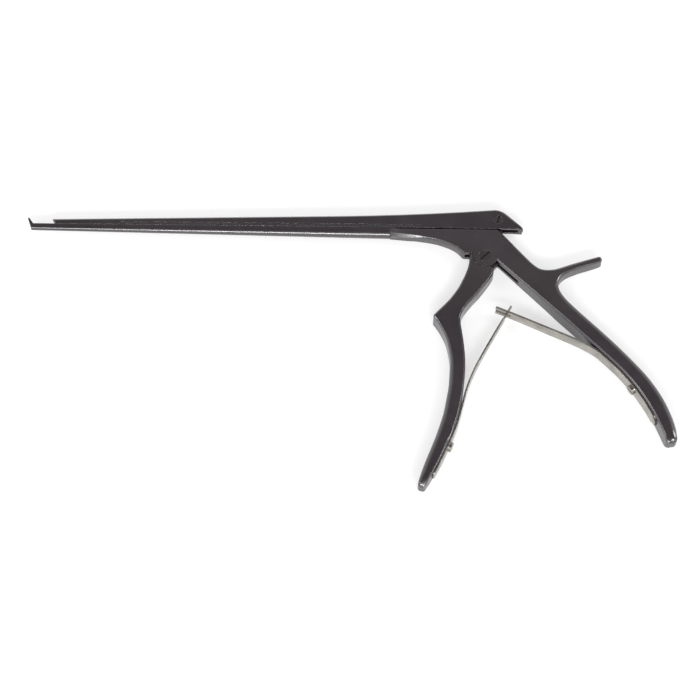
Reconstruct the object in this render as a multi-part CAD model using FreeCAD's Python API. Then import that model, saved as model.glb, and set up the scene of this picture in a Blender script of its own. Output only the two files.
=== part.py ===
import FreeCAD, Part
import math
import os
from FreeCAD import Vector

# Bone rongeur: an up-cutting bone punch that lies on its side.
# Sizes are millimetres and angles are degrees. The pieces are drawn about the pivot: +X along
# the shaft towards the hand, +Y from the pivot towards the sliding shaft, +Z through the
# thickness, with z = 0 as the middle plane. At the end they are set down on the table, with
# the middle of their outer box over the origin.

# half thickness of frame and trigger: thin at the shaft, full at the grips
TOP_HALF = 2.6
GRIP_HALF = 5.0
TAPER_END_Y = -28.0
TAPER_BLEND = 9.0

# shaft
PART_Y = 14.4
FOOT_X = -209.9
SHAFT_TIP_HALF = 1.4
SHAFT_FULL_X = -67.0
SHAFT_ROOT_X = -44.0
SHAFT_TIP_DEPTH = 2.7
SHAFT_FULL_DEPTH = 4.2
SHAFT_ROOT_DEPTH = 4.6
SLIDE_GAP = 0.05
BELLY_FACETS = 10

# footplate, the anvil that the slide bites against
JAW_ANGLE = 35.0
JAW_GAP = 10.6
BITE_CLEARANCE = 0.1
FOOT_HEIGHT = 2.8
FOOT_TOP_LENGTH = 0.7
FOOT_BACK_ANGLE = 19.0

# sliding shaft
SLIDE_TIP_HEIGHT = 2.6
SLIDE_REAR_X = 17.0
NOSE_HEIGHT = 1.0
SLIDE_FULL_Y = 20.25
SLIDE_TOP_BREAK = 0.8
CUP_RADIUS = 0.85
CUP_DEPTH = 1.2
CUP_OVERHANG = 3.0
GROOVE_WIDTH = 0.45
GROOVE_DEPTH = 0.22
GROOVE_HEIGHT = 1.2
GROOVE_TOOL_HALF = 0.5
GROOVE_REAR_X = -29.5
GROOVE_FRONT_X = -170.0

# T rail under the slide, T groove in the shaft
RAIL_NECK = 0.8
RAIL_HEAD = 1.5
RAIL_NECK_HEIGHT = 0.7
RAIL_HEAD_HEIGHT = 0.6
RAIL_PLAY = 0.05
RAIL_SETBACK = 3.0
RAIL_REAR_X = -60.0

# pivot, ear and shoulder
EAR_RADIUS = 5.6
EAR_GAP = 0.3
HUB_RADIUS = 6.9
SLOT_WIDTH = 2.8
TONGUE_WIDTH = 2.6
PIVOT_RADIUS = 2.0
PIVOT_HEAD_RADIUS = 2.9
PIVOT_HEAD_HEIGHT = 0.9
PIVOT_PLAY = 0.05
SHOULDER_Y = 1.3
SLOT_REAR_X = 15.0

# drive screw, the open fork that moves it and the pocket in the slide
DRIVE_X = 6.3
DRIVE_Y = 19.2
DRIVE_RADIUS = 1.2
DRIVE_HEAD_RADIUS = 2.0
DRIVE_HEAD_HEIGHT = 0.6
FORK_PLAY = 0.15
FORK_RADIUS = 3.1
FORK_RISE = 1.4
ARM_HALF = 3.0
POCKET_FRONT = 5.6
POCKET_ROOF_Y = 22.4

# screwdriver slots
DRIVER_WIDTH = 0.8
DRIVER_DEPTH = 0.5
PIVOT_DRIVER_ANGLE = 45.0
DRIVE_DRIVER_ANGLE = 75.0

# broken long edges
EDGE_BREAK = 0.7

# leaf springs
LEAF_THICKNESS = 0.9
REAR_LEAF_HALF = 3.6
REAR_LEAF_TIP_HALF = 2.6
FRONT_LEAF_HALF = 3.2
FRONT_LEAF_TIP_HALF = 2.2
FORK_SLOT_HALF = 0.95
FORK_SLOT_LENGTH = 7.4
TONGUE_TIP_HALF = 0.75
TONGUE_TIP_LENGTH = 6.5
SPRING_SCREW_RADIUS = 1.2
SPRING_HEAD_RADIUS = 2.3
SPRING_HEAD_HEIGHT = 1.2
SPRING_SCREW_DEPTH = 2.6

# inner face of the rear handle, a straight line and then a bend, and the spring screws' places on it
INNER_FACE_OFFSET = 2.88
INNER_FACE_SLOPE = 0.9815
REAR_BEND_X = 56.0
REAR_BEND_RADIUS = 94.3
REAR_END_Y = -92.9
HANDLE_END_ROUND = 2.2
BACK_TOP_X = 6.08
BACK_TOP_ROUND = 2.0
SPUR_TIP_ROUND = 1.2
TRIGGER_TIP_ROUND = 1.5
KNEE_ROUND = 1.2
REAR_SCREW = (66.8, -64.8)
REAR_SCREW_ANGLE = 215.4
FRONT_SCREW = (-17.4, -94.4)
FRONT_SCREW_ANGLE = -23.0
REAR_LEAF_END_Y = -81.8
FRONT_LEAF_END_Y = -109.0

BIG = 400.0


def at(x, y, z=0.0):
    return Vector(x, y, z)


def polar(radius, angle):
    turn = math.radians(angle)
    return at(radius * math.cos(turn), radius * math.sin(turn))


SPUR_TOP = at(53.6, -0.2)
SPUR_BOTTOM = at(54.2, -2.75)
PALM_END = at(85.5, -92.3)
TRIGGER_INNER_TIP = at(-28.0, -116.0)
TRIGGER_OUTER_TIP = at(-31.0, -115.0)
KNEE = at(-24.25, -31.85)


def line(start, end):
    return Part.LineSegment(start, end).toShape()


def arc(start, middle, end):
    return Part.Arc(start, middle, end).toShape()


def curve(*points):
    spline = Part.BSplineCurve()
    spline.interpolate(list(points))
    return spline.toShape()


def polygon(*points):
    corners = [at(x, y) for x, y in points]
    return [line(a, b) for a, b in zip(corners, corners[1:] + corners[:1])]


def prism(edges, half):
    face = Part.Face(Part.Wire(edges))
    face.translate(at(0, 0, -half))
    return face.extrude(at(0, 0, 2 * half))


def round_corners(solid, *corners):
    """Rounds upright edges of a prism, each given by its place and radius."""
    for x, y, radius in corners:
        upright = [e for e in solid.Edges if abs(e.tangentAt(e.FirstParameter).z) > 0.99]
        nearest = min(upright, key=lambda e: math.hypot(e.Vertexes[0].X - x, e.Vertexes[0].Y - y))
        solid = solid.makeFillet(radius, [nearest])
    return solid


def rod(x, y, radius, low, high):
    return Part.makeCylinder(radius, high - low, at(x, y, low), at(0, 0, 1))


def taper_half(y):
    share = (PART_Y - y) / (PART_Y - TAPER_END_Y)
    return TOP_HALF + (GRIP_HALF - TOP_HALF) * min(share, 1.0)


def side_envelope():
    """The side view of frame and trigger as seen along the shaft, swept through their length."""
    top = PART_Y + 12
    slant = math.atan2(GRIP_HALF - TOP_HALF, PART_Y - TAPER_END_Y)
    start_y = TAPER_END_Y + TAPER_BLEND * math.cos(slant)
    start_half = GRIP_HALF - TAPER_BLEND * math.sin(slant)
    inset = TAPER_BLEND / math.tan(slant / 2) * (1 / math.cos(slant / 2) - 1)
    middle_y = TAPER_END_Y - inset * math.sin(slant / 2)
    middle_half = GRIP_HALF - inset * math.cos(slant / 2)
    top_half = taper_half(top)
    edges = []
    for side in (1, -1):
        edges += [
            line(at(0, top, side * top_half), at(0, start_y, side * start_half)),
            arc(at(0, start_y, side * start_half), at(0, middle_y, side * middle_half),
                at(0, TAPER_END_Y - TAPER_BLEND, side * GRIP_HALF)),
            line(at(0, TAPER_END_Y - TAPER_BLEND, side * GRIP_HALF), at(0, -BIG, side * GRIP_HALF)),
        ]
    edges.append(line(at(0, top, top_half), at(0, top, -top_half)))
    edges.append(line(at(0, -BIG, GRIP_HALF), at(0, -BIG, -GRIP_HALF)))
    face = Part.Face(Part.Wire(Part.__sortEdges__(edges)))
    face.translate(at(-BIG, 0))
    return face.extrude(at(2 * BIG, 0))


def is_wall(face):
    u0, u1, v0, v1 = face.ParameterRange
    return abs(face.normalAt((u0 + u1) / 2, (v0 + v1) / 2).z) < 0.01


def break_side_edges(shape, is_kept_sharp):
    """Breaks the edges between the side faces and the walls."""
    chosen = []
    for edge in shape.Edges:
        if sum(is_wall(face) for face in shape.ancestorsOfType(edge, Part.Face)) != 1:
            continue
        if not is_kept_sharp(edge.valueAt(edge.FirstParameter), edge.valueAt(edge.LastParameter)):
            chosen.append(edge)
    return shape.makeChamfer(EDGE_BREAK, chosen)


def inner_line_y(x):
    """Height of the straight inner face of the rear handle, above or below the pivot."""
    return INNER_FACE_OFFSET - INNER_FACE_SLOPE * x


def frame_blank():
    inner_end = rear_inner_point(REAR_END_Y)
    return round_corners(
        prism(frame_outline(), GRIP_HALF + 1),
        (BACK_TOP_X, PART_Y, BACK_TOP_ROUND),
        (SPUR_TOP.x, SPUR_TOP.y, SPUR_TIP_ROUND), (SPUR_BOTTOM.x, SPUR_BOTTOM.y, SPUR_TIP_ROUND),
        (PALM_END.x, PALM_END.y, HANDLE_END_ROUND), (inner_end.x, inner_end.y, HANDLE_END_ROUND))


def rear_bend_centre():
    slant = math.hypot(1, INNER_FACE_SLOPE)
    start = at(REAR_BEND_X, inner_line_y(REAR_BEND_X))
    return start - at(INNER_FACE_SLOPE, 1) * (REAR_BEND_RADIUS / slant)


def rear_inner_point(y):
    """A point at height y on the bent part of the rear handle's inner face."""
    centre = rear_bend_centre()
    return at(centre.x + math.sqrt(REAR_BEND_RADIUS ** 2 - (y - centre.y) ** 2), y)


def rear_inner_arc(low, high):
    return arc(rear_inner_point(low), rear_inner_point((low + high) / 2), rear_inner_point(high))


def frame_outline():
    shaft_top = at(SHAFT_ROOT_X, PART_Y)
    shaft_bottom = at(SHAFT_ROOT_X, PART_Y - SHAFT_ROOT_DEPTH)
    shoulder_front = at(-10.4, SHOULDER_Y)
    inner_start = at(EAR_RADIUS / 2, inner_line_y(EAR_RADIUS / 2))
    shoulder_rear = at(EAR_RADIUS / 2, SHOULDER_Y)
    inner_end = at(REAR_BEND_X, inner_line_y(REAR_BEND_X))
    return [
        line(shaft_top, at(BACK_TOP_X, PART_Y)),
        line(at(BACK_TOP_X, PART_Y), at(19.0, -1.05)),
        curve(at(19.0, -1.05), at(21.8, -4.1), at(25.4, -6.7), at(30.0, -7.3), at(38.9, -4.8), at(46.0, -2.5),
              SPUR_TOP),
        line(SPUR_TOP, SPUR_BOTTOM),
        curve(SPUR_BOTTOM, at(45.5, -5.4), at(39.3, -7.6), at(35.0, -10.8), at(33.6, -14.3),
              at(35.1, -19.2), at(39.6, -24.8), at(52.2, -37.2), at(63.3, -48.7), at(72.4, -59.7),
              at(79.2, -70.6), at(83.6, -81.4), PALM_END),
        line(PALM_END, rear_inner_point(REAR_END_Y)),
        rear_inner_arc(REAR_END_Y, inner_end.y),
        line(inner_end, inner_start),
        line(inner_start, shoulder_rear),
        line(shoulder_rear, shoulder_front),
        curve(shoulder_front, at(-13.8, 4.3), at(-20.5, 7.3), at(-30.5, 9.1), shaft_bottom),
        line(shaft_bottom, shaft_top),
    ]


def frame_edge_is_sharp(start, end):
    on_top = min(start.y, end.y) > PART_Y - 0.1
    on_root = max(start.x, end.x) < SHAFT_ROOT_X + 0.1
    on_shoulder = max(abs(start.y - SHOULDER_Y), abs(end.y - SHOULDER_Y)) < 0.1
    return on_top or on_root or on_shoulder or max(start.Length, end.Length) < EAR_RADIUS


def shaft_section(x, half, depth):
    """One section of the lower shaft: flat sliding plane, upright flanks, half-round belly."""
    belly = [(half * math.cos(turn), PART_Y - depth + half - half * math.sin(turn))
             for turn in (math.pi * step / BELLY_FACETS for step in range(BELLY_FACETS + 1))]
    corners = [at(x, PART_Y, half), *(at(x, y, z) for z, y in belly), at(x, PART_Y, -half)]
    return Part.Wire([line(a, b) for a, b in zip(corners, corners[1:] + corners[:1])])


def lower_shaft():
    back_drop = FOOT_HEIGHT + SHAFT_TIP_DEPTH
    inner_shift = FOOT_HEIGHT * math.tan(math.radians(JAW_ANGLE))
    outer_shift = back_drop * math.tan(math.radians(FOOT_BACK_ANGLE))
    top_x = FOOT_X - inner_shift - FOOT_TOP_LENGTH
    bottom_x = top_x + outer_shift
    sections = [
        shaft_section(top_x - 1, SHAFT_TIP_HALF, SHAFT_TIP_DEPTH),
        shaft_section(SHAFT_FULL_X, TOP_HALF, SHAFT_FULL_DEPTH),
        shaft_section(SHAFT_ROOT_X + 2, TOP_HALF, SHAFT_ROOT_DEPTH),
    ]
    shaft = Part.makeLoft(sections, True, True)
    foot = prism(polygon(
        (FOOT_X + 1, PART_Y - 1), (FOOT_X, PART_Y), (FOOT_X - inner_shift, PART_Y + FOOT_HEIGHT),
        (top_x - 1, PART_Y + FOOT_HEIGHT), (top_x - 1, PART_Y - 1)), SHAFT_TIP_HALF)
    toe = prism(polygon(
        (top_x, PART_Y + FOOT_HEIGHT + 1), (top_x, PART_Y + FOOT_HEIGHT),
        (bottom_x, PART_Y - SHAFT_TIP_DEPTH), (bottom_x, PART_Y - SHAFT_TIP_DEPTH - 1),
        (top_x - 5, PART_Y - SHAFT_TIP_DEPTH - 1), (top_x - 5, PART_Y + FOOT_HEIGHT + 1)), 3.0)
    return shaft.fuse(foot).cut(toe)


def rail(play, front, rear):
    """The T section under the slide, or with play around it the groove that it runs in."""
    neck = prism(polygon(
        (front, PART_Y + 0.5), (rear, PART_Y + 0.5),
        (rear, PART_Y - RAIL_NECK_HEIGHT - 0.1), (front, PART_Y - RAIL_NECK_HEIGHT - 0.1)),
        RAIL_NECK / 2 + play)
    head = prism(polygon(
        (front, PART_Y - RAIL_NECK_HEIGHT + play), (rear, PART_Y - RAIL_NECK_HEIGHT + play),
        (rear, PART_Y - RAIL_NECK_HEIGHT - RAIL_HEAD_HEIGHT - play),
        (front, PART_Y - RAIL_NECK_HEIGHT - RAIL_HEAD_HEIGHT - play)),
        RAIL_HEAD / 2 + play)
    return neck.fuse(head)


def tongue_slot():
    """The slot in which the trigger's tongue swings, open at the top, the back and the hand side."""
    return prism(polygon(
        (-7.6, PART_Y + 1), (-9.3, SHOULDER_Y + 2), (-9.3, -12), (SLOT_REAR_X + 4, -30),
        (SLOT_REAR_X, inner_line_y(SLOT_REAR_X) + 0.8), (8.3, 2.5), (12.2, PART_Y + 1)),
        SLOT_WIDTH / 2)


def slide_front_x():
    return FOOT_X + JAW_GAP


def fixed_frame():
    body = frame_blank().common(side_envelope())
    body = break_side_edges(body, frame_edge_is_sharp)
    body = body.fuse(rod(0, 0, EAR_RADIUS, -GRIP_HALF, GRIP_HALF).common(side_envelope()))
    frame = body.fuse(lower_shaft()).removeSplitter()
    groove_front = slide_front_x() - JAW_GAP + 2
    frame = frame.cut(rail(RAIL_PLAY, groove_front, RAIL_REAR_X + 2))
    frame = frame.cut(tongue_slot())
    frame = frame.cut(rod(0, 0, PIVOT_RADIUS, -GRIP_HALF, GRIP_HALF))
    face = taper_half(0)
    frame = frame.cut(rod(0, 0, PIVOT_HEAD_RADIUS + 0.02, face - PIVOT_HEAD_HEIGHT, GRIP_HALF))
    return frame.cut(spring_screw_hole(REAR_SCREW, REAR_SCREW_ANGLE))


def shaft_half(x):
    share = (SHAFT_FULL_X - x) / (SHAFT_FULL_X - FOOT_X)
    return TOP_HALF - (TOP_HALF - SHAFT_TIP_HALF) * min(max(share, 0.0), 1.0)


def slide_plan():
    """The slide as seen from above: it narrows towards the tip with the shaft below it."""
    front = FOOT_X - 5
    corners = [(front, SHAFT_TIP_HALF), (FOOT_X, SHAFT_TIP_HALF), (SHAFT_FULL_X, TOP_HALF), (BIG, TOP_HALF)]
    corners += [(x, -half) for x, half in reversed(corners)]
    points = [at(x, PART_Y - 5, half) for x, half in corners]
    edges = [line(a, b) for a, b in zip(points, points[1:] + points[:1])]
    return Part.Face(Part.Wire(edges)).extrude(at(0, 30))


def slide_front_half():
    """The front half of the slide, which narrows towards the jaws."""
    bottom = PART_Y + SLIDE_GAP
    front = slide_front_x()
    lean = SLIDE_TIP_HEIGHT * math.tan(math.radians(JAW_ANGLE))
    return prism(polygon(
        (front, bottom), (front - lean, bottom + SLIDE_TIP_HEIGHT),
        (SHAFT_FULL_X, SLIDE_FULL_Y), (SHAFT_FULL_X, bottom)), BIG).common(slide_plan())


def slide_rear_half():
    """The rear half of the slide, as thick as the frame's back and sloping down behind the fork."""
    bottom = PART_Y + SLIDE_GAP
    return prism([
        line(at(SHAFT_FULL_X, bottom), at(SHAFT_FULL_X, SLIDE_FULL_Y)),
        arc(at(SHAFT_FULL_X, SLIDE_FULL_Y), at(-30.2, 21.95), at(3.6, 24.5)),
        arc(at(3.6, 24.5), at(7.2, 24.2), at(9.9, 22.5)),
        line(at(9.9, 22.5), at(SLIDE_REAR_X, bottom + NOSE_HEIGHT)),
        line(at(SLIDE_REAR_X, bottom + NOSE_HEIGHT), at(SLIDE_REAR_X, bottom)),
        line(at(SLIDE_REAR_X, bottom), at(SHAFT_FULL_X, bottom)),
    ], TOP_HALF)


def slide_pocket():
    """The pocket over the trigger's fork, with a roof that follows the back of the slide."""
    rear = SLIDE_REAR_X - 2.0
    return prism(polygon(
        (DRIVE_X - POCKET_FRONT, PART_Y - 1), (DRIVE_X - POCKET_FRONT, POCKET_ROOF_Y),
        (8.5, POCKET_ROOF_Y), (rear - 1.6, PART_Y + 1.4), (rear, PART_Y + 1.4), (rear, PART_Y - 1)),
        SLOT_WIDTH / 2)


def flank_groove(side):
    """The fine line along one flank of the slide, in two straight stretches."""
    y = PART_Y + GROOVE_HEIGHT
    reach = GROOVE_TOOL_HALF - GROOVE_DEPTH
    front = at(GROOVE_FRONT_X, y, side * (shaft_half(GROOVE_FRONT_X) + reach))
    knee = at(SHAFT_FULL_X, y, side * (TOP_HALF + reach))
    rear = at(GROOVE_REAR_X, y, side * (TOP_HALF + reach))
    half_width = GROOVE_WIDTH / 2
    tools = []
    for start, end in ((front, knee), (knee, rear)):
        corners = [
            start + at(0, -half_width, -GROOVE_TOOL_HALF), start + at(0, half_width, -GROOVE_TOOL_HALF),
            start + at(0, half_width, GROOVE_TOOL_HALF), start + at(0, -half_width, GROOVE_TOOL_HALF)]
        section = Part.Face(Part.makePolygon([*corners, corners[0]]))
        tools.append(section.extrude(end - start))
    return tools[0].fuse(tools[1])


def driver_slot(x, y, face, radius, angle):
    slot = Part.makeBox(2 * radius, DRIVER_WIDTH, 2, at(-radius, -DRIVER_WIDTH / 2, face - DRIVER_DEPTH))
    slot.rotate(at(0, 0), at(0, 0, 1), angle)
    slot.translate(at(x, y))
    return slot


def is_slide_top_edge(edge):
    middle = (edge.FirstParameter + edge.LastParameter) / 2
    point = edge.valueAt(middle)
    on_flank = abs(abs(point.z) - shaft_half(point.x)) < 0.02
    return on_flank and abs(edge.tangentAt(middle).x) > 0.7 and point.y > PART_Y + SLIDE_TIP_HEIGHT


def break_top_edges(half):
    return half.makeChamfer(SLIDE_TOP_BREAK, [edge for edge in half.Edges if is_slide_top_edge(edge)])


def sliding_shaft():
    slide = break_top_edges(slide_front_half()).fuse(break_top_edges(slide_rear_half())).removeSplitter()
    slide = slide.cut(slide_pocket())
    front = slide_front_x()
    slide = slide.fuse(rail(0, front + RAIL_SETBACK, RAIL_REAR_X - JAW_GAP))
    cup = Part.makeCylinder(
        CUP_RADIUS, CUP_DEPTH + CUP_OVERHANG,
        at(front - CUP_OVERHANG, PART_Y + SLIDE_TIP_HEIGHT / 2 - 0.1), at(1, 0, 0))
    slide = slide.cut(cup)
    bore = rod(DRIVE_X, DRIVE_Y, DRIVE_RADIUS, -TOP_HALF, TOP_HALF)
    seat = rod(DRIVE_X, DRIVE_Y, DRIVE_HEAD_RADIUS + 0.02, TOP_HALF - DRIVE_HEAD_HEIGHT, TOP_HALF + 1)
    slide = slide.cut(bore).cut(seat)
    return slide.cut(flank_groove(1)).cut(flank_groove(-1))


def drive_screw():
    screw = rod(DRIVE_X, DRIVE_Y, DRIVE_RADIUS, -TOP_HALF, TOP_HALF)
    screw = screw.fuse(rod(DRIVE_X, DRIVE_Y, DRIVE_HEAD_RADIUS, TOP_HALF - DRIVE_HEAD_HEIGHT, TOP_HALF))
    screw = screw.removeSplitter()
    return screw.cut(driver_slot(DRIVE_X, DRIVE_Y, TOP_HALF, DRIVE_HEAD_RADIUS + 0.5, DRIVE_DRIVER_ANGLE))


def pivot_screw():
    face = taper_half(PIVOT_HEAD_RADIUS)
    screw = rod(0, 0, PIVOT_RADIUS, -taper_half(PIVOT_RADIUS), face)
    screw = screw.fuse(rod(0, 0, PIVOT_HEAD_RADIUS, taper_half(0) - PIVOT_HEAD_HEIGHT, face))
    screw = screw.removeSplitter()
    return screw.cut(driver_slot(0, 0, face, PIVOT_HEAD_RADIUS + 0.5, PIVOT_DRIVER_ANGLE))


def trigger_inner_curve():
    return curve(
        at(-12.0, -33.0), at(-10.6, -41.5), at(-9.5, -54.0), at(-9.9, -64.0), at(-11.4, -75.0),
        at(-14.3, -86.3), at(-17.4, -94.4), at(-22.7, -105.9), TRIGGER_INNER_TIP)


def trigger_outline():
    horn_y = SHOULDER_Y - EAR_GAP
    return [
        line(at(-7.1, horn_y), at(-2.0, horn_y)),
        line(at(-2.0, horn_y), at(-2.0, -4.3)),
        line(at(-2.0, -4.3), at(1.9, -4.3)),
        curve(at(1.9, -4.3), at(2.95, -7.4), at(2.2, -9.6), at(-0.2, -13.3), at(-4.5, -19.3), at(-9.3, -25.4),
              at(-12.0, -33.0)),
        trigger_inner_curve(),
        line(TRIGGER_INNER_TIP, TRIGGER_OUTER_TIP),
        curve(TRIGGER_OUTER_TIP, at(-29.0, -107.4), at(-25.5, -97.9), at(-20.3, -83.2), at(-17.2, -68.3),
              at(-16.2, -57.0), at(-16.9, -47.5), at(-19.5, -39.4), KNEE),
        curve(KNEE, at(-18.7, -25.9), at(-14.7, -20.8), at(-11.6, -15.6), at(-9.2, -10.2),
              at(-7.6, -4.8), at(-7.1, horn_y)),
    ]


def trigger_blank():
    return round_corners(
        prism(trigger_outline(), GRIP_HALF + 1),
        (TRIGGER_INNER_TIP.x, TRIGGER_INNER_TIP.y, TRIGGER_TIP_ROUND),
        (TRIGGER_OUTER_TIP.x, TRIGGER_OUTER_TIP.y, TRIGGER_TIP_ROUND),
        (KNEE.x, KNEE.y, KNEE_ROUND))


def trigger_edge_is_sharp(start, end):
    return max(start.Length, end.Length) < EAR_RADIUS or min(start.y, end.y) > 0


def arm():
    """The thin tongue of the trigger: a round hub in the frame's slot and an arm with an open fork."""
    reach = math.hypot(DRIVE_X, DRIVE_Y)
    lean = math.degrees(math.atan2(DRIVE_X, DRIVE_Y))
    top = reach + FORK_RISE
    tongue = prism(polygon((-ARM_HALF, -2), (ARM_HALF, -2), (ARM_HALF, reach), (-ARM_HALF, reach)),
                   TONGUE_WIDTH / 2)
    head = rod(0, reach, FORK_RADIUS, -TONGUE_WIDTH / 2, TONGUE_WIDTH / 2)
    head = head.cut(prism(polygon((-9, top), (9, top), (9, top + 9), (-9, top + 9)), 9))
    slot_half = DRIVE_RADIUS + FORK_PLAY
    slot_bottom = DRIVE_Y - FORK_PLAY
    tongue = tongue.fuse(head)
    tongue = tongue.cut(prism(polygon(
        (-slot_half, slot_bottom), (slot_half, slot_bottom), (slot_half, top + 9), (-slot_half, top + 9)), 9))
    tongue = tongue.cut(rod(0, slot_bottom, slot_half, -9, 9))
    tongue.rotate(at(0, 0), at(0, 0, 1), -lean)
    hub = rod(0, 0, HUB_RADIUS, -TONGUE_WIDTH / 2, TONGUE_WIDTH / 2)
    return tongue.fuse(hub).cut(rod(0, 0, PIVOT_RADIUS + PIVOT_PLAY, -9, 9))


def trigger_handle():
    handle = trigger_blank().common(side_envelope())
    handle = break_side_edges(handle, trigger_edge_is_sharp)
    handle = handle.cut(rod(0, 0, EAR_RADIUS + EAR_GAP, -BIG, BIG))
    handle = handle.fuse(arm())
    return handle.cut(spring_screw_hole(FRONT_SCREW, FRONT_SCREW_ANGLE))


def stretch(edge, start_y, end_y):
    """The stretch of a curved edge between two heights."""
    low = edge.Curve.parameter(nearest_at_height(edge, start_y))
    high = edge.Curve.parameter(nearest_at_height(edge, end_y))
    return edge.Curve.toShape(min(low, high), max(low, high))


def nearest_at_height(edge, y):
    first, last = edge.FirstParameter, edge.LastParameter
    falling = edge.valueAt(first).y > edge.valueAt(last).y
    for _ in range(40):
        middle = (first + last) / 2
        if (edge.valueAt(middle).y > y) == falling:
            first = middle
        else:
            last = middle
    return edge.valueAt(first)


def beside(edge, share, away, distance):
    """A point next to an edge, at a distance from it on the side that away points to."""
    place = edge.FirstParameter + (edge.LastParameter - edge.FirstParameter) * share
    normal = edge.tangentAt(place).cross(at(0, 0, 1))
    return edge.valueAt(place) + normal * math.copysign(distance, normal.dot(away))


def leaf_blank(edges, away):
    """A strip of spring steel of even thickness, bent along the edges from its tip to its root."""
    outer = []
    start = beside(edges[0], 0, away, LEAF_THICKNESS)
    tip = line(edges[0].valueAt(edges[0].FirstParameter), start)
    for edge in edges:
        steps = [beside(edge, step / 8, away, LEAF_THICKNESS) for step in range(1, 9)]
        outer.append(curve(start, *steps))
        start = steps[-1]
    root = line(edges[-1].valueAt(edges[-1].LastParameter), start)
    return prism(Part.__sortEdges__([*edges, *outer, tip, root]), 10)


def leaf_plan(points):
    corners = [at(-BIG, y, half) for y, half in points] + [at(-BIG, y, -half) for y, half in reversed(points)]
    edges = [line(a, b) for a, b in zip(corners, corners[1:] + corners[:1])]
    return Part.Face(Part.Wire(edges)).extrude(at(2 * BIG, 0))


def rear_leaf_spring():
    leave = at(52.0, inner_line_y(52.0))
    bend = at(REAR_BEND_X, inner_line_y(REAR_BEND_X))
    free = curve(
        at(5.0, -25.7), at(16.6, -30.6), at(33.8, -38.3), at(44.0, -43.0), leave)
    root = rear_inner_arc(bend.y, REAR_LEAF_END_Y)
    blank = leaf_blank([free, line(leave, bend), root], polar(1, REAR_SCREW_ANGLE))
    plan = leaf_plan([
        (-20, REAR_LEAF_TIP_HALF), (-50, REAR_LEAF_HALF), (REAR_LEAF_END_Y + 2.4, REAR_LEAF_HALF),
        (REAR_LEAF_END_Y + 0.4, REAR_LEAF_HALF - 1.6), (REAR_LEAF_END_Y - 3, REAR_LEAF_HALF - 1.6)])
    leaf = blank.common(plan)
    notch = Part.makeBox(FORK_SLOT_LENGTH + 5, 8, 2 * FORK_SLOT_HALF, at(-5, -4, -FORK_SLOT_HALF))
    notch.rotate(at(0, 0), at(0, 0, 1), math.degrees(math.atan2(-0.39, 0.92)))
    notch.translate(at(5.0, -25.7))
    leaf = leaf.cut(notch)
    return leaf.cut(spring_screw_bore(REAR_SCREW, REAR_SCREW_ANGLE))


def front_leaf_spring():
    leave = nearest_at_height(trigger_inner_curve(), -80.5)
    root = stretch(trigger_inner_curve(), leave.y, FRONT_LEAF_END_Y)
    free = curve(
        at(11.6, -24.2), at(4.3, -37.7), at(-1.3, -48.3), at(-5.9, -57.8), at(-8.9, -65.8), at(-10.7, -72.6),
        at(-11.75, -77.4), leave)
    blank = leaf_blank([free, root], polar(1, FRONT_SCREW_ANGLE))
    plan = leaf_plan([
        (-20, TONGUE_TIP_HALF), (-24.2 - TONGUE_TIP_LENGTH, TONGUE_TIP_HALF),
        (-24.2 - TONGUE_TIP_LENGTH - 0.6, FRONT_LEAF_TIP_HALF), (-78, FRONT_LEAF_HALF),
        (FRONT_LEAF_END_Y + 1.5, FRONT_LEAF_HALF), (FRONT_LEAF_END_Y - 1, FRONT_LEAF_HALF - 1)])
    leaf = blank.common(plan)
    return leaf.cut(spring_screw_bore(FRONT_SCREW, FRONT_SCREW_ANGLE))


def on_axis(place, angle, radius, low, high):
    """A cylinder along a spring screw's axis, from low to high above the handle's inner face."""
    out = polar(1, angle)
    return Part.makeCylinder(radius, high - low, at(*place) + out * low, out)


def spring_screw_hole(place, angle):
    return on_axis(place, angle, SPRING_SCREW_RADIUS, -SPRING_SCREW_DEPTH, 1)


def spring_screw_bore(place, angle):
    return on_axis(place, angle, SPRING_SCREW_RADIUS, -1, 3)


def spring_screw(place, angle):
    shank = on_axis(place, angle, SPRING_SCREW_RADIUS, -SPRING_SCREW_DEPTH, LEAF_THICKNESS + 0.3)
    top = LEAF_THICKNESS + SPRING_HEAD_HEIGHT
    head = on_axis(place, angle, SPRING_HEAD_RADIUS, LEAF_THICKNESS + 0.01, top)
    screw = shank.fuse(head).removeSplitter()
    slot = Part.makeBox(DRIVER_WIDTH, 2 * SPRING_HEAD_RADIUS + 1, 2,
                        at(-DRIVER_WIDTH / 2, -SPRING_HEAD_RADIUS - 0.5, top - DRIVER_DEPTH))
    slot.rotate(at(0, 0), at(0, 1, 0), 90)
    slot.rotate(at(0, 0), at(0, 0, 1), angle)
    slot.translate(at(*place))
    return screw.cut(slot)


def rongeur():
    return {
        "fixed_frame": fixed_frame(),
        "pivot_screw": pivot_screw(),
        "rear_leaf_spring": rear_leaf_spring(),
        "rear_spring_screw": spring_screw(REAR_SCREW, REAR_SCREW_ANGLE),
        "trigger_handle": trigger_handle(),
        "front_leaf_spring": front_leaf_spring(),
        "front_spring_screw": spring_screw(FRONT_SCREW, FRONT_SCREW_ANGLE),
        "sliding_shaft": sliding_shaft(),
        "drive_screw": drive_screw(),
    }


def set_down(pieces):
    box = Part.makeCompound(list(pieces.values())).optimalBoundingBox(True, False)
    move = at(-box.Center.x, -box.Center.y, -box.ZMin)
    for shape in pieces.values():
        shape.translate(move)
    return move


pieces = rongeur()
pivot = set_down(pieces)
reach = math.degrees(math.atan2(DRIVE_X, DRIVE_Y) + math.atan2(JAW_GAP - BITE_CLEARANCE - DRIVE_X, DRIVE_Y))
print("pivot at", pivot, "closing angle", reach, "travel", JAW_GAP - BITE_CLEARANCE)
os.makedirs("parts", exist_ok=True)
for node, shape in pieces.items():
    print(node, shape.isValid(), len(shape.Solids), round(shape.Volume, 1), shape.BoundBox)
    shape.exportStep(f"parts/{node}.step")
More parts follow.
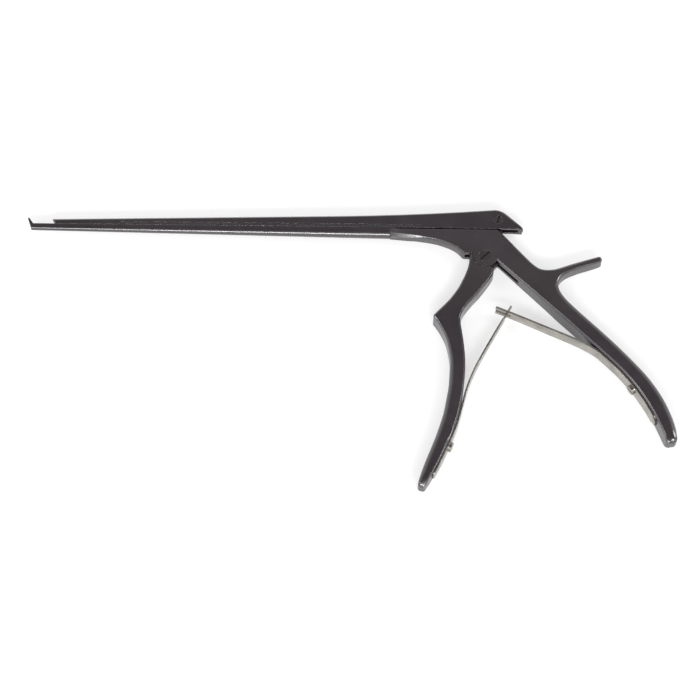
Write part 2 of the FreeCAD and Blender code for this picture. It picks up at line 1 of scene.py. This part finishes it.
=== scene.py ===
import math
import bpy
from mathutils import Matrix, Vector


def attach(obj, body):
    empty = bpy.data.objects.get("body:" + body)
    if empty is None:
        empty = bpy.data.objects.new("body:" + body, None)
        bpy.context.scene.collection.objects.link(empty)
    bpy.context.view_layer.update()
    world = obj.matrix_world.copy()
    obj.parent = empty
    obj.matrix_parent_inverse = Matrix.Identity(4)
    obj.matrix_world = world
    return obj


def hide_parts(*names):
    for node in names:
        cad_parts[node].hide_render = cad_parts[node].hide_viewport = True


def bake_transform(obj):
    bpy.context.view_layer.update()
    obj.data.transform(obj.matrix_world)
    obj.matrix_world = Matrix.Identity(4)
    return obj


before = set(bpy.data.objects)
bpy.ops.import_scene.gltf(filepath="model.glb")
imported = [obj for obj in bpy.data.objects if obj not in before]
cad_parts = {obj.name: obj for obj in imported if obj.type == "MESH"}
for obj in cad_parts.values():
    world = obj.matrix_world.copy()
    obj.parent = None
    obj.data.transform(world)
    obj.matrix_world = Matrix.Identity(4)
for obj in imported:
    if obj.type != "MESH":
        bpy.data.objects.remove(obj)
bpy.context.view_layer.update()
print("frame loaded")

pivot = Vector((0.063607, 0.045537, 0.005))  # where the trigger turns, metres in the shared frame
alongX = Vector((1, 0, 0))
alongY = Vector((0, 1, 0))


def place(x, y, z=0.0):  # millimetres from the pivot
    return pivot + Vector((x, y, z)) / 1000


def selectOnly(piece):
    bpy.ops.object.select_all(action="DESELECT")
    piece.select_set(True)
    bpy.context.view_layer.objects.active = piece


# camera: looks down at the tool lying on its side, tilted towards its lower edge
camera = {
    "aim": place(-61.78, -47.65),
    "distance": 1.2,
    "tilt": math.radians(25),
    "roll": math.radians(0.83),
    "lens": 135.5,
}
bpy.ops.object.camera_add()
eye = bpy.context.object
eye.name = "camera"
eye.data.lens = camera["lens"]
eye.data.sensor_width = 36
eye.data.clip_end = 20
back = Vector((0, -math.sin(camera["tilt"]), math.cos(camera["tilt"])))
turn = Matrix.Rotation(camera["tilt"], 4, "X") @ Matrix.Rotation(camera["roll"], 4, "Z")
eye.matrix_world = Matrix.Translation(camera["aim"] + back * camera["distance"]) @ turn
bpy.context.scene.camera = eye
print("camera placed")


# small steps of a shader tree
def remap(tree, value, low, high, toLow, toHigh):
    node = tree.nodes.new("ShaderNodeMapRange")
    node.inputs["From Min"].default_value = low
    node.inputs["From Max"].default_value = high
    tree.links.new(value, node.inputs["Value"])
    for socket, end in (("To Min", toLow), ("To Max", toHigh)):
        if isinstance(end, (int, float)):
            node.inputs[socket].default_value = end
        else:
            tree.links.new(end, node.inputs[socket])
    return node.outputs["Result"]


def math2(tree, operation, first, second):
    node = tree.nodes.new("ShaderNodeMath")
    node.operation = operation
    for socket, value in zip(node.inputs, (first, second)):
        if isinstance(value, (int, float)):
            socket.default_value = value
        else:
            tree.links.new(value, socket)
    return node.outputs[0]


def mixColour(tree, factor, first, second):
    node = tree.nodes.new("ShaderNodeMix")
    node.data_type = "RGBA"
    sockets = [s for s in node.inputs if s.type == "RGBA"]
    for socket, value in zip(sockets, (first, second)):
        if isinstance(value, tuple):
            socket.default_value = (*value, 1)
        else:
            tree.links.new(value, socket)
    if isinstance(factor, (int, float)):
        node.inputs["Factor"].default_value = factor
    else:
        tree.links.new(factor, node.inputs["Factor"])
    return [s for s in node.outputs if s.type == "RGBA"][0]


# studio: white floor, a pale dome and three softboxes, the strongest along the tool's lower edge
studio = {
    "floorSize": 6.0,
    "floorWhite": 0.8,
    "shadowShare": 0.4,
    "domeEdge": (0.45, 0.9),
    "overhead": 0.17,
}
lamps = {
    "frontSoftbox": {"at": (0.15, -1.3, 1.05), "size": (1.2, 0.3), "power": 22},
    "rightSoftbox": {"at": (1.35, 0.25, 1.0), "size": (0.3, 0.9), "power": 9},
    "leftSoftbox": {"at": (-1.3, -0.35, 1.1), "size": (0.3, 0.9), "power": 8},
}


def seenDirectly(tree):  # one where the camera, a reflection or glass looks at it, else zero
    path = tree.nodes.new("ShaderNodeLightPath").outputs
    mirrored = math2(tree, "MAXIMUM", path["Is Camera Ray"], path["Is Glossy Ray"])
    return math2(tree, "MAXIMUM", mirrored, path["Is Transmission Ray"])


def makeFloor():
    bpy.ops.object.select_all(action="DESELECT")
    bpy.ops.mesh.primitive_plane_add(size=studio["floorSize"], location=(0, 0, 0))
    floor = bpy.context.object
    floor.name = "floor"
    material = bpy.data.materials.new("paleFloor")
    material.use_nodes = True
    tree = material.node_tree
    tree.nodes.clear()
    out = tree.nodes.new("ShaderNodeOutputMaterial")
    paper = tree.nodes.new("ShaderNodeBsdfDiffuse")
    paper.inputs["Color"].default_value = (studio["floorWhite"],) * 3 + (1,)
    bright = tree.nodes.new("ShaderNodeBsdfDiffuse")
    bright.inputs["Color"].default_value = (1, 1, 1, 1)
    glow = tree.nodes.new("ShaderNodeEmission")
    white = tree.nodes.new("ShaderNodeMixShader")
    white.inputs[0].default_value = studio["shadowShare"]
    tree.links.new(glow.outputs[0], white.inputs[1])
    tree.links.new(bright.outputs[0], white.inputs[2])
    mix = tree.nodes.new("ShaderNodeMixShader")
    tree.links.new(seenDirectly(tree), mix.inputs[0])
    tree.links.new(paper.outputs[0], mix.inputs[1])
    tree.links.new(white.outputs[0], mix.inputs[2])
    tree.links.new(mix.outputs[0], out.inputs["Surface"])
    floor.data.materials.append(material)


def makeWorld():  # pale dome, dimmer overhead, seen alike by the camera and in the metal
    world = bpy.data.worlds.new("studio")
    bpy.context.scene.world = world
    world.use_nodes = True
    tree = world.node_tree
    tree.nodes.clear()
    out = tree.nodes.new("ShaderNodeOutputWorld")
    dome = tree.nodes.new("ShaderNodeBackground")
    direction = tree.nodes.new("ShaderNodeTexCoord")
    split = tree.nodes.new("ShaderNodeSeparateXYZ")
    tree.links.new(direction.outputs["Generated"], split.inputs[0])
    height = remap(tree, split.outputs["Z"], *studio["domeEdge"], 0.0, 1.0)
    tree.links.new(mixColour(tree, height, (1, 1, 1), (studio["overhead"],) * 3), dome.inputs["Color"])
    tree.links.new(dome.outputs[0], out.inputs["Surface"])


def makeLamp(name, lamp):
    bpy.ops.object.light_add(type="AREA", location=lamp["at"])
    light = bpy.context.object
    light.name = name
    light.data.shape = "RECTANGLE"
    light.data.size, light.data.size_y = lamp["size"]
    light.data.energy = lamp["power"]
    light.rotation_euler = (-Vector(lamp["at"])).to_track_quat("-Z", "Y").to_euler()


makeFloor()
makeWorld()
for lampName, lamp in lamps.items():
    makeLamp(lampName, lamp)
bpy.context.scene.view_settings.view_transform = "Standard"
print("studio lit")


# the shader group that the two dark finishes share
def newGroup(name, inputs, outputs):
    group = bpy.data.node_groups.new(name, "ShaderNodeTree")
    for socket, kind, value in inputs:
        made = group.interface.new_socket(name=socket, in_out="INPUT", socket_type=kind)
        if value is not None:
            made.default_value = value
    for socket, kind in outputs:
        group.interface.new_socket(name=socket, in_out="OUTPUT", socket_type=kind)
    start = group.nodes.new("NodeGroupInput")
    end = group.nodes.new("NodeGroupOutput")
    return group, start, end


def noise(tree, vector, scale, detail, roughness):
    node = tree.nodes.new("ShaderNodeTexNoise")
    node.inputs["Scale"].default_value = scale
    node.inputs["Detail"].default_value = detail
    node.inputs["Roughness"].default_value = roughness
    tree.links.new(vector, node.inputs["Vector"])
    return node.outputs["Fac"]


satinPattern = {  # each noise is (scale per metre, detail, roughness)
    "cloud": (55, 4, 0.6), "blotch": (14, 2, 0.5), "smear": (90, 5, 0.65), "grainDetail": 2,
    "toneFrom": (0.35, 0.65), "smearFrom": (0.35, 0.7),
}


def makeSatinGroup():  # cloudy oxide tone, handling smudges and a fine blasted grain
    group, start, end = newGroup(
        "satinOxide",
        [("Vector", "NodeSocketVector", None), ("Cloud", "NodeSocketFloat", 0.2),
         ("Smudge", "NodeSocketFloat", 0.1), ("Grain Size", "NodeSocketFloat", 4000.0)],
        [("Tone", "NodeSocketFloat"), ("Roughness Shift", "NodeSocketFloat"),
         ("Grain", "NodeSocketFloat")])
    vector = start.outputs["Vector"]
    cloud = noise(group, vector, *satinPattern["cloud"])
    blotch = noise(group, vector, *satinPattern["blotch"])
    both = math2(group, "MULTIPLY", math2(group, "ADD", cloud, blotch), 0.5)
    tone = remap(group, both, *satinPattern["toneFrom"],
                 math2(group, "SUBTRACT", 1, start.outputs["Cloud"]),
                 math2(group, "ADD", 1, start.outputs["Cloud"]))
    smear = noise(group, vector, *satinPattern["smear"])
    smear = remap(group, smear, *satinPattern["smearFrom"], -1.0, 1.0)
    shift = math2(group, "MULTIPLY", smear, start.outputs["Smudge"])
    grainNode = group.nodes.new("ShaderNodeTexNoise")
    grainNode.inputs["Detail"].default_value = satinPattern["grainDetail"]
    group.links.new(vector, grainNode.inputs["Vector"])
    group.links.new(start.outputs["Grain Size"], grainNode.inputs["Scale"])
    group.links.new(tone, end.inputs["Tone"])
    group.links.new(shift, end.inputs["Roughness Shift"])
    group.links.new(grainNode.outputs["Fac"], end.inputs["Grain"])
    return group


satinGroup = makeSatinGroup()
bevelSamples = 14


def newMaterial(name):
    material = bpy.data.materials.new(name)
    material.use_nodes = True
    tree = material.node_tree
    tree.nodes.clear()
    out = tree.nodes.new("ShaderNodeOutputMaterial")
    shader = tree.nodes.new("ShaderNodeBsdfPrincipled")
    tree.links.new(shader.outputs[0], out.inputs["Surface"])
    coordinate = tree.nodes.new("ShaderNodeTexCoord")
    return material, tree, shader, coordinate.outputs["Object"]


def roughenNormal(tree, shader, height, look):  # softened edges under a fine relief
    rounding = tree.nodes.new("ShaderNodeBevel")
    rounding.samples = bevelSamples
    rounding.inputs["Radius"].default_value = look["edgeRadius"]
    relief = tree.nodes.new("ShaderNodeBump")
    relief.inputs["Strength"].default_value = look["relief"]
    relief.inputs["Distance"].default_value = look["reliefDepth"]
    tree.links.new(height, relief.inputs["Height"])
    tree.links.new(rounding.outputs[0], relief.inputs["Normal"])
    tree.links.new(relief.outputs[0], shader.inputs["Normal"])


def oxideMaterial(name, look):  # satin oxide on steel, with painted shade that makes it near black, duller and less shiny in slots, gaps and seams
    material, tree, shader, vector = newMaterial(name)
    satin = tree.nodes.new("ShaderNodeGroup")
    satin.node_tree = satinGroup
    tree.links.new(vector, satin.inputs["Vector"])
    for socket, setting in (("Cloud", "cloud"), ("Smudge", "smudge"), ("Grain Size", "grain")):
        satin.inputs[socket].default_value = look[setting]
    tone = remap(tree, satin.outputs["Tone"], *look["toneRange"], 0.0, 1.0)
    colour = mixColour(tree, tone, look["dark"], look["light"])
    # painted shade: ambient occlusion pulls the colour to near black in slots, gaps and seams between
    # parts, and lowers the specular there
    crevice = tree.nodes.new("ShaderNodeAmbientOcclusion")
    crevice.samples = look["creviceSamples"]
    crevice.inputs["Distance"].default_value = look["creviceDepth"]
    unshadedShare = remap(tree, crevice.outputs["AO"], *look["creviceRange"], 0.0, 1.0)
    tree.links.new(mixColour(tree, unshadedShare, look["paintedShadeColour"], colour), shader.inputs["Base Color"])
    rough = math2(tree, "ADD", satin.outputs["Roughness Shift"], look["roughness"])
    rough = math2(tree, "ADD", rough, remap(tree, unshadedShare, 0.0, 1.0, look["creviceDulls"], 0.0))
    tree.links.new(rough, shader.inputs["Roughness"])
    shader.inputs["Metallic"].default_value = look["metallic"]
    tree.links.new(math2(tree, "MULTIPLY", unshadedShare, look["specular"]), shader.inputs["Specular IOR Level"])
    shader.inputs["IOR"].default_value = look["ior"]
    roughenNormal(tree, shader, satin.outputs["Grain"], look)
    return material


blackenedSteel = {
    "dark": (0.0105, 0.0068, 0.0090), "light": (0.0225, 0.0150, 0.0195),
    "cloud": 0.22, "smudge": 0.05, "grain": 5200.0, "roughness": 0.27,
    "metallic": 0.0, "specular": 0.5, "ior": 1.95, "edgeRadius": 0.0003,
    "relief": 0.25, "reliefDepth": 0.00002, "toneRange": (0.7, 1.3),
    # the crevice settings and the colour after them set the painted shade in slots and gaps
    "creviceDepth": 0.0012, "creviceSamples": 8, "creviceRange": (0.3, 0.9), "creviceDulls": 0.5,
    "paintedShadeColour": (0.003, 0.0025, 0.0028),
}
# screws: a pure black painted shade that reaches deeper, so their slots read dark
screwSteel = dict(blackenedSteel, dark=(0.011, 0.0075, 0.0085), light=(0.020, 0.014, 0.016),
                  roughness=0.3, edgeRadius=0.0001, creviceDepth=0.003, paintedShadeColour=(0.0, 0.0, 0.0))
finishes = {
    "blackened_steel": oxideMaterial("blackenedSteel", blackenedSteel),
    "screw_steel": oxideMaterial("screwSteel", screwSteel),
}


springSteel = {
    "dark": (0.30, 0.285, 0.26), "light": (0.42, 0.40, 0.365),
    "roughness": 0.3, "streak": 0.10, "edgeRadius": 0.00012,
    "relief": 0.3, "reliefDepth": 0.00001,
    "scratch": (900, 4, 0.6), "scratchFrom": (0.3, 0.7), "cloud": (120, 3, 0.5), "cloudFrom": (0.35, 0.65),
}


def groundSteelMaterial(name, look):  # ground and polished strip, fine scratches along the leaf
    material, tree, shader, vector = newMaterial(name)
    stretch = tree.nodes.new("ShaderNodeMapping")
    stretch.inputs["Scale"].default_value = look["along"]
    stretch.inputs["Rotation"].default_value = (0, 0, look["turn"])
    tree.links.new(vector, stretch.inputs["Vector"])
    scratch = noise(tree, stretch.outputs[0], *look["scratch"])
    cloud = remap(tree, noise(tree, vector, *look["cloud"]), *look["cloudFrom"], 0.0, 1.0)
    colour = mixColour(tree, cloud, look["dark"], look["light"])
    tree.links.new(colour, shader.inputs["Base Color"])
    smooth, dull = look["roughness"] - look["streak"], look["roughness"] + look["streak"]
    rough = remap(tree, scratch, *look["scratchFrom"], smooth, dull)
    tree.links.new(rough, shader.inputs["Roughness"])
    shader.inputs["Metallic"].default_value = 1.0
    roughenNormal(tree, shader, scratch, look)
    return material


def coat(piece, material):
    piece.data.materials.clear()
    piece.data.materials.append(material)


def merge(piece, flattenBy=None):  # closes the loose triangles, and joins those that lie in one plane
    selectOnly(piece)
    bpy.ops.object.mode_set(mode="EDIT")
    bpy.ops.mesh.select_all(action="SELECT")
    bpy.ops.mesh.remove_doubles(threshold=0.000002)
    if flattenBy:
        bpy.ops.mesh.dissolve_limited(angle_limit=math.radians(flattenBy))
    bpy.ops.object.mode_set(mode="OBJECT")


def copyOfNode(node, name):  # the node's own shape as a piece that may bend or be rounded
    piece = bpy.data.objects.new(name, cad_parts[node].data.copy())
    bpy.context.collection.objects.link(piece)
    merge(piece, flattenBy=0.3)
    return piece


def applied(piece, kind, **settings):
    modifier = piece.modifiers.new(kind.lower(), kind)
    for key, value in settings.items():
        setattr(modifier, key, value)
    selectOnly(piece)
    bpy.ops.object.modifier_apply(modifier=modifier.name)


leaves = {
    "rearLeaf": {
        "node": "rear_leaf_spring", "root": "frame", "tip": "trigger",
        "leaves": place(50.0, -47.0), "meets": place(8.0, -27.0), "turn": 0.41, "edge": 0.00014,
    },
    "frontLeaf": {
        "node": "front_leaf_spring", "root": "trigger", "tip": "frame",
        "leaves": place(-11.0, -76.0), "meets": place(8.5, -29.5), "turn": 1.13, "edge": 0.00014,
    },
}


def makeLeaf(name, leaf):
    piece = copyOfNode(leaf["node"], name)
    applied(piece, "BEVEL", width=leaf["edge"], segments=2, limit_method="ANGLE",
            angle_limit=math.radians(40))
    selectOnly(piece)
    bpy.ops.object.shade_smooth_by_angle(angle=math.radians(30))
    look = dict(springSteel, along=(0.06, 1.0, 1.0), turn=leaf["turn"])
    coat(piece, groundSteelMaterial(name + "Steel", look))
    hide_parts(leaf["node"])
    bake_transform(piece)


for leafName, leaf in leaves.items():
    makeLeaf(leafName, leaf)


# tools for the three dark bodies
def ramp(value, points):  # straight runs between (place, amount) pairs, flat beyond them
    for (low, start), (high, end) in zip(points, points[1:]):
        if low <= value <= high:
            return start + (end - start) * (value - low) / (high - low)
    return points[0][1] if value < points[0][0] else points[-1][1]


def reshape(piece, shift):  # moves points, in millimetres from the pivot
    for vertex in piece.data.vertices:
        spot = (vertex.co - pivot) * 1000
        vertex.co += Vector(shift(spot)) / 1000


def nudged(spot, nudges):  # each nudge fades out at its reach
    shift = Vector((0, 0, 0))
    for x, y, reach, across, up in nudges:
        gap = math.hypot(spot.x - x, spot.y - y) / reach
        if gap < 1:
            shift += Vector((across, up, 0)) * (1 - gap * gap) ** 2
    return shift


def cutAcross(piece, stations, axis):  # an edge loop round the piece at each distance from the pivot
    selectOnly(piece)
    bpy.ops.object.mode_set(mode="EDIT")
    for station in stations:
        bpy.ops.mesh.select_all(action="SELECT")
        bpy.ops.mesh.bisect(plane_co=pivot + axis * station / 1000, plane_no=axis)
    bpy.ops.object.mode_set(mode="OBJECT")


def cornerLine(piece, wanted):  # the chamfer's lower line on the wall, and the walls at each point
    mesh = piece.data
    owners = {}
    for face in mesh.polygons:
        for key in face.edge_keys:
            owners.setdefault(key, []).append(face.normal)
    links = {}
    walls = {}
    for (first, second), normals in owners.items():
        if len(normals) != 2:
            continue
        wall, chamfer = sorted(normals, key=lambda normal: abs(normal.z))
        middle = (mesh.vertices[first].co + mesh.vertices[second].co) / 2
        spot = (middle - pivot) * 1000
        if abs(wall.z) > 0.2 or not 0.5 < chamfer.z < 0.85 or not wanted(spot, wall):
            continue
        for vertex, other in ((first, second), (second, first)):
            links.setdefault(vertex, []).append(other)
            walls.setdefault(vertex, []).append(wall)
    ends = [vertex for vertex, others in links.items() if len(others) == 1]
    start = max(ends, key=lambda vertex: mesh.vertices[vertex].co.y)
    line = [start]
    while True:
        onward = [other for other in links[line[-1]] if other not in line]
        if not onward:
            break
        line.append(onward[0])
    return [mesh.vertices[vertex].co.copy() for vertex in line], [walls[vertex] for vertex in line]


corner = {
    "chamfer": 0.0007,  # already off in the solid, so the sharp corner was this far above its lower line
    "steps": 6,
    "clear": 0.0006,  # how far the cutter stands out of the metal
}


def roundCorner(piece, wanted, radii):
    # takes the corner off with a hollow cutter run along it, on the front and on the back
    spots, walls = cornerLine(piece, wanted)
    steps, clear = corner["steps"], corner["clear"]
    lengths = [0.0]
    for spot, after in zip(spots, spots[1:]):
        lengths.append(lengths[-1] + (after - spot).length * 1000)
    print("corner line", piece.name, len(spots), "points", round(lengths[-1], 1), "mm")
    verts = []
    faces = []
    for spot, wall, length in zip(spots, walls, lengths):
        radius = ramp(length, radii) / 1000
        out = Vector((0, 0, 0))
        for normal in wall:
            out += normal
        out.z = 0
        out.normalize()
        top = spot + Vector((0, 0, corner["chamfer"]))
        section = [(-radius, clear)]
        for step in range(steps + 1):
            angle = math.radians(90 - 90 * step / steps)
            section.append((-radius + radius * math.cos(angle), -radius + radius * math.sin(angle)))
        section += [(clear, -radius), (clear, clear)]
        verts += [top + out * along + Vector((0, 0, up)) for along, up in section]
    count = steps + 4  # points in one section
    for row in range(len(spots) - 1):
        for step in range(count):
            after = (step + 1) % count
            faces.append((row * count + step, row * count + after,
                          (row + 1) * count + after, (row + 1) * count + step))
    faces.append(tuple(range(count)))
    faces.append(tuple((len(spots) - 1) * count + step for step in reversed(range(count))))
    mesh = bpy.data.meshes.new("cutter")
    mesh.from_pydata(verts, [], faces)
    for side in (1, -1):
        cutter = bpy.data.objects.new("cutter", mesh.copy())
        bpy.context.collection.objects.link(cutter)
        if side < 0:
            for vertex in cutter.data.vertices:
                vertex.co.z = 2 * pivot.z - vertex.co.z
        selectOnly(cutter)
        bpy.ops.object.mode_set(mode="EDIT")
        bpy.ops.mesh.select_all(action="SELECT")
        bpy.ops.mesh.normals_make_consistent(inside=False)
        bpy.ops.object.mode_set(mode="OBJECT")
        applied(piece, "BOOLEAN", operation="DIFFERENCE", solver="EXACT", object=cutter)
        bpy.data.objects.remove(cutter)


def finishBody(piece, node, body):
    merge(piece)
    bpy.ops.object.shade_smooth_by_angle(angle=math.radians(24))
    applied(piece, "WEIGHTED_NORMAL", keep_sharp=True, weight=100)
    coat(piece, finishes["blackened_steel"])
    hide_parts(node)
    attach(piece, body)


# nudges are (x, y, reach, right, up) and cuts are places, in millimetres from the pivot; the tables give
# an amount at each place, where thins are shares of the height and radii go by the length of the corner
frameBody = {
    "spur": {"from": 40, "above": -14, "lift": [(42.0, 0.0), (55.0, 1.0)]},
    "nudges": [
        (12, 8, 7, 0.25, 0.25), (18, 1, 7, 0.25, 0.25), (23, -5, 7, 0.2, 0.25),
        (30, -4, 7, 0, 0.8), (36, -2, 7, 0, 1.2), (42, 0, 7, 0, 1.3), (48, 2.5, 7, 0, 0.9),
        (76, -60, 12, 0.25, 0.12), (83, -70, 12, 0.3, 0.12), (87, -82, 9, 0.3, 0),
        (10, -11, 7.5, 0.2, 0.2), (18, -19, 7.5, 0.2, 0.2), (26, -27, 7.5, 0.2, 0.2),
        (34, -35, 7.5, 0.2, 0.2), (41, -42, 7.5, 0.15, 0.15),
        (-16, 2, 7, 0, 0.4), (-24, 4.5, 7, 0, 0.4), (-31, 6, 7, 0, 0.35)],
    "root": {
        "from": -44.1, "to": -27, "cuts": (-42.0, -39.0, -36.0, -32.0, -28.0),
        "rise": [(-44.0, 1.0), (-36.0, 0.45), (-28.0, 0.0)],
        "bottom": [(-44.0, 9.8), (-30.5, 9.1), (-27.0, 8.6)],
        "flankAt": 2.3, "flankHeight": 1.2, "flankLift": 1.7, "flankThins": 0.08,
        "floorHeight": 0.3, "floorLift": 0.1, "floorThins": 0.45, "sideAt": 2.5, "sideThins": 0.08,
    },
    "endCuts": (-85.0, -87.0, -88.5, -90.0, -91.0, -92.0),
    "endFrom": -84,
    "endThins": [
        (-92.9, 0.42), (-92.0, 0.31), (-91.0, 0.22), (-90.0, 0.145), (-88.5, 0.07), (-87.0, 0.025),
        (-85.0, 0.0)],
    "palmRadii": [
        (0.0, 1.2), (16.0, 1.3), (34.0, 1.9), (60.0, 2.6), (112.0, 2.6), (120.0, 1.9), (150.0, 1.9)],
}
triggerBody = {
    "inner": [
        (-36.0, 0.0), (-31.0, 0.5), (-26.0, 1.1), (-20.0, 1.4), (-14.0, 1.6), (-10.0, 1.4), (-7.4, 1.0),
        (-5.6, 0.0)],
    "innerLine": {"x": -6.5, "y": -10, "slope": 0.55},  # the bulge is on the right of this line
    "nudges": [
        (-13, -12, 7, -0.3, 0), (-18, -19, 7, -0.35, 0), (-23, -26, 7, -0.3, 0.1),
        (-24, -40, 8, -0.3, 0), (-21, -49, 9, -0.35, 0), (-20, -60, 9, -0.35, 0),
        (-22, -72, 9, -0.3, 0), (-25, -84, 8, -0.2, 0)],
    "tipCuts": (-109.0, -111.0, -112.5, -113.5, -114.5),
    "tipFrom": -108,
    "tipThins": [
        (-116.0, 0.45), (-114.5, 0.30), (-113.5, 0.2), (-112.5, 0.12), (-111.0, 0.05), (-109.0, 0.0)],
    "gripRadii": [(0.0, 0.9), (8.0, 1.2), (30.0, 2.2), (80.0, 2.6), (86.0, 1.4), (100.0, 1.3)],
}


def rootShift(spot):  # the root of the shaft runs out into the round belly in front of it
    root = frameBody["root"]
    rise = ramp(spot.x, root["rise"])
    bottom = ramp(spot.x, root["bottom"])
    if spot.x < root["from"] or spot.x > root["to"]:
        return Vector((0, 0, 0))
    if abs(spot.z) > root["flankAt"] and spot.y < bottom + root["flankHeight"]:
        return Vector((0, rise * root["flankLift"], -root["flankThins"] * rise * spot.z))
    if spot.y < bottom + root["floorHeight"]:
        return Vector((0, rise * root["floorLift"], -root["floorThins"] * rise * spot.z))
    return Vector((0, 0, -root["sideThins"] * rise * spot.z if abs(spot.z) > root["sideAt"] else 0))


def frameShift(spot):
    shift = rootShift(spot) + nudged(spot, frameBody["nudges"])
    spur = frameBody["spur"]
    if spot.x > spur["from"] and spot.y > spur["above"]:
        shift.y += ramp(spot.x, spur["lift"])
    if spot.y < frameBody["endFrom"]:
        shift.z -= spot.z * ramp(spot.y, frameBody["endThins"])
    return shift


def onPalmOrSpur(spot, wall):  # from under the spur's tip round to the end of the palm side
    if spot.z <= 0 or spot.x <= 33 or spot.y >= -2.6:
        return False
    return wall.x > 0.1 and (wall.y < 0.5 or spot.y < -17)


def onGrip(spot, wall):  # the finger side of the trigger, from the knee down
    return spot.z > 0 and spot.y < -32.6 and wall.x < 0.2


def makeFrameBody():
    piece = copyOfNode("fixed_frame", "frameBody")
    roundCorner(piece, onPalmOrSpur, frameBody["palmRadii"])
    cutAcross(piece, frameBody["root"]["cuts"], alongX)
    cutAcross(piece, frameBody["endCuts"], alongY)
    reshape(piece, frameShift)
    finishBody(piece, "fixed_frame", "frame")


def triggerShift(spot):
    shift = nudged(spot, triggerBody["nudges"])
    edge = triggerBody["innerLine"]
    if spot.y < triggerBody["tipFrom"]:
        shift.z -= spot.z * ramp(spot.y, triggerBody["tipThins"])
    elif spot.x > edge["x"] + (spot.y - edge["y"]) * edge["slope"]:
        shift.x += ramp(spot.y, triggerBody["inner"])
    return shift


def makeTriggerBody():
    piece = copyOfNode("trigger_handle", "triggerBody")
    roundCorner(piece, onGrip, triggerBody["gripRadii"])
    cutAcross(piece, triggerBody["tipCuts"], alongY)
    reshape(piece, triggerShift)
    finishBody(piece, "trigger_handle", "trigger")


slideBody = {
    "tail": [(8.0, 0.0), (17.0, 0.8)],
    "tailRound": 0.0009,
    "tailSegments": 4,
    "upright": 0.8,  # share of an edge's length that runs through the thickness
}


def makeSlideBody():
    piece = copyOfNode("sliding_shaft", "slideBody")
    reshape(piece, lambda spot: (ramp(spot.x, slideBody["tail"]), 0.0, 0.0))
    selectOnly(piece)
    mesh = piece.data
    for part in (mesh.vertices, mesh.edges, mesh.polygons):
        part.foreach_set("select", [False] * len(part))
    end = max(vertex.co.x for vertex in mesh.vertices)
    for edge in mesh.edges:
        first, second = (mesh.vertices[vertex].co for vertex in edge.vertices)
        upright = abs(first.z - second.z) > slideBody["upright"] * (first - second).length
        if min(first.x, second.x) > end - 0.0002 and upright:
            edge.select = True
    bpy.ops.object.mode_set(mode="EDIT")
    bpy.ops.mesh.select_mode(type="EDGE")
    bpy.ops.mesh.bevel(offset=slideBody["tailRound"], segments=slideBody["tailSegments"])
    bpy.ops.object.mode_set(mode="OBJECT")
    finishBody(piece, "sliding_shaft", "slide")


makeFrameBody()
makeTriggerBody()
makeSlideBody()
print("handles rounded")

for node in ("pivot_screw", "drive_screw"):
    coat(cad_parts[node], finishes["screw_steel"])
fastenerSteel = groundSteelMaterial("fastenerSteel", dict(springSteel, along=(1, 1, 1), turn=0))
for node in ("rear_spring_screw", "front_spring_screw"):
    coat(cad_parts[node], fastenerSteel)
print("metals finished")
